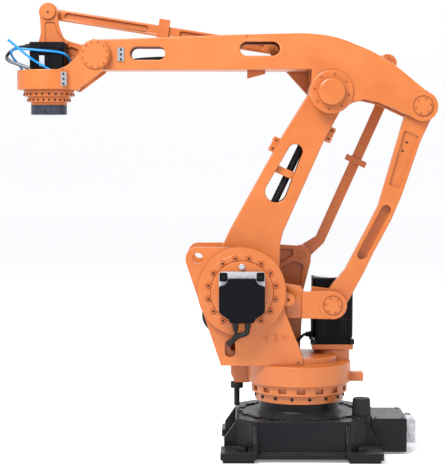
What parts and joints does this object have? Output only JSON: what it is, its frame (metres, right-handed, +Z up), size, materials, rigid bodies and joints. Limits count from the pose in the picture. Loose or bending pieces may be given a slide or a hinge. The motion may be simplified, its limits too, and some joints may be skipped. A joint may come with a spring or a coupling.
{
  "type": "industrial robot arm",
  "caption": "Palletizing robot arm on a bolted cast base, with a swivelling turret, parallel-link lower and upper arms, levelling rods and a turning tool flange.",
  "frame": {"origin": "on the floor, on the vertical swivel axis, at the centre of the base's foot hole pattern", "axes": "+Z up along the swivel axis; the arm reaches towards -X; the crank is on the -Y side and the levelling rods on the +Y side"},
  "size_m": [2.4715, 0.91, 2.6009],
  "materials": {
    "orange_paint": "satin orange machine paint on castings",
    "black_casting": "semi-gloss black paint on castings and motor housings",
    "zinc_steel": "zinc-plated steel pins and fasteners",
    "grey_metal": "light grey die-cast metal",
    "black_rubber": "matt black rubber and conduit",
    "blue_hose": "blue polyurethane air hose"
  },
  "bodies": {
    "base": {"base_casting": "black_casting", "anchor_bolt_1": "zinc_steel", "anchor_bolt_2": "zinc_steel", "anchor_bolt_3": "zinc_steel", "anchor_bolt_4": "zinc_steel", "stop_bumper": "black_rubber", "cable_box": "black_casting", "connector_hood": "grey_metal"},
    "turret": {"swivel_ring": "orange_paint", "turret_drum": "orange_paint", "swivel_motor_flange": "orange_paint", "swivel_motor": "black_casting", "swivel_motor_cap": "grey_metal", "crank_side_plate": "orange_paint", "rod_side_plate": "orange_paint", "turret_frame": "orange_paint", "conduit_bracket": "orange_paint", "conduit_gland": "black_rubber", "base_conduit": "black_rubber", "turret_link_pin": "zinc_steel", "crank_drive_motor": "black_casting", "arm_drive_motor": "black_casting"},
    "lower_arm": {"lower_arm": "orange_paint", "elbow_shaft": "zinc_steel", "arm_conduit_clamp": "orange_paint", "arm_conduit": "black_rubber"},
    "elbow_plate": {"elbow_plate": "orange_paint", "front_link_pin": "zinc_steel", "rear_link_pin": "zinc_steel"},
    "upper_arm": {"upper_arm": "orange_paint", "elbow_cover": "orange_paint", "rear_pin": "zinc_steel", "arm_side_tag": "grey_metal", "hose_hook": "orange_paint"},
    "wrist": {"wrist_housing": "orange_paint", "wrist_pin": "zinc_steel", "wrist_link_pin": "zinc_steel", "wrist_motor": "black_casting", "wrist_motor_cap": "black_casting", "wrist_output": "orange_paint", "air_hose_1": "blue_hose", "air_hose_2": "blue_hose", "wrist_cable": "black_rubber"},
    "tool": {"tool_flange": "black_casting"},
    "top_rod": {"top_rod": "orange_paint", "top_rod_clamp": "orange_paint"},
    "crank": {"crank": "orange_paint"},
    "crank_pin": {"crank_pin": "zinc_steel"},
    "drive_rod": {"drive_rod": "orange_paint"},
    "rear_rod": {"rear_rod": "orange_paint", "rear_rod_clamp": "orange_paint"}
  },
  "joints": [
    {"name": "swivel", "type": "hinge", "parent": "base", "child": "turret", "pos_m": [0, 0, 0.4], "axis": [0, 0, 1], "range_deg": [-150, 150]},
    {"name": "arm_swing", "type": "hinge", "parent": "turret", "child": "lower_arm", "pos_m": [-0.335, 0, 0.94], "axis": [0, 1, 0], "range_deg": [-50, 12]},
    {"name": "elbow_level", "type": "hinge", "parent": "lower_arm", "child": "elbow_plate", "pos_m": [0.17133, 0.2, 2.07191], "axis": [0, 1, 0], "range_deg": [-12, 50]},
    {"name": "crank_swing", "type": "hinge", "parent": "turret", "child": "crank", "pos_m": [-0.335, -0.128, 0.94], "axis": [0, 1, 0], "range_deg": [-30, 20]},
    {"name": "crank_pin_level", "type": "hinge", "parent": "crank", "child": "crank_pin", "pos_m": [0.18354, -0.1, 0.85787], "axis": [0, 1, 0], "range_deg": [-20, 30]},
    {"name": "drive_rod_swing", "type": "hinge", "parent": "crank_pin", "child": "drive_rod", "pos_m": [0.18354, -0.096, 0.85787], "axis": [0, 1, 0], "range_deg": [-50, 12]},
    {"name": "upper_arm_swing", "type": "hinge", "parent": "elbow_plate", "child": "upper_arm", "pos_m": [0.17133, 0, 2.07191], "axis": [0, 1, 0], "range_deg": [-30, 20]},
    {"name": "wrist_level", "type": "hinge", "parent": "upper_arm", "child": "wrist", "pos_m": [-1.17193, 0, 2.28466], "axis": [0, 1, 0], "range_deg": [-20, 30]},
    {"name": "top_rod_swing", "type": "hinge", "parent": "elbow_plate", "child": "top_rod", "pos_m": [-0.12405, 0.255, 2.33417], "axis": [0, 1, 0], "range_deg": [-30, 20]},
    {"name": "rear_rod_swing", "type": "hinge", "parent": "turret", "child": "rear_rod", "pos_m": [0.01663, 0.255, 1.11994], "axis": [0, 1, 0], "range_deg": [-50, 12]},
    {"name": "tool_turn", "type": "hinge", "parent": "wrist", "child": "tool", "pos_m": [-1.45193, 0, 2], "axis": [0, 0, 1], "range_deg": [-180, 180]}
  ],
  "couplings": [
    {"joint": "elbow_level", "follows": "arm_swing", "ratio": -1},
    {"joint": "drive_rod_swing", "follows": "arm_swing", "ratio": 1},
    {"joint": "rear_rod_swing", "follows": "arm_swing", "ratio": 1},
    {"joint": "crank_pin_level", "follows": "crank_swing", "ratio": -1},
    {"joint": "upper_arm_swing", "follows": "crank_swing", "ratio": 1},
    {"joint": "wrist_level", "follows": "crank_swing", "ratio": -1},
    {"joint": "top_rod_swing", "follows": "crank_swing", "ratio": 1}
  ]
}
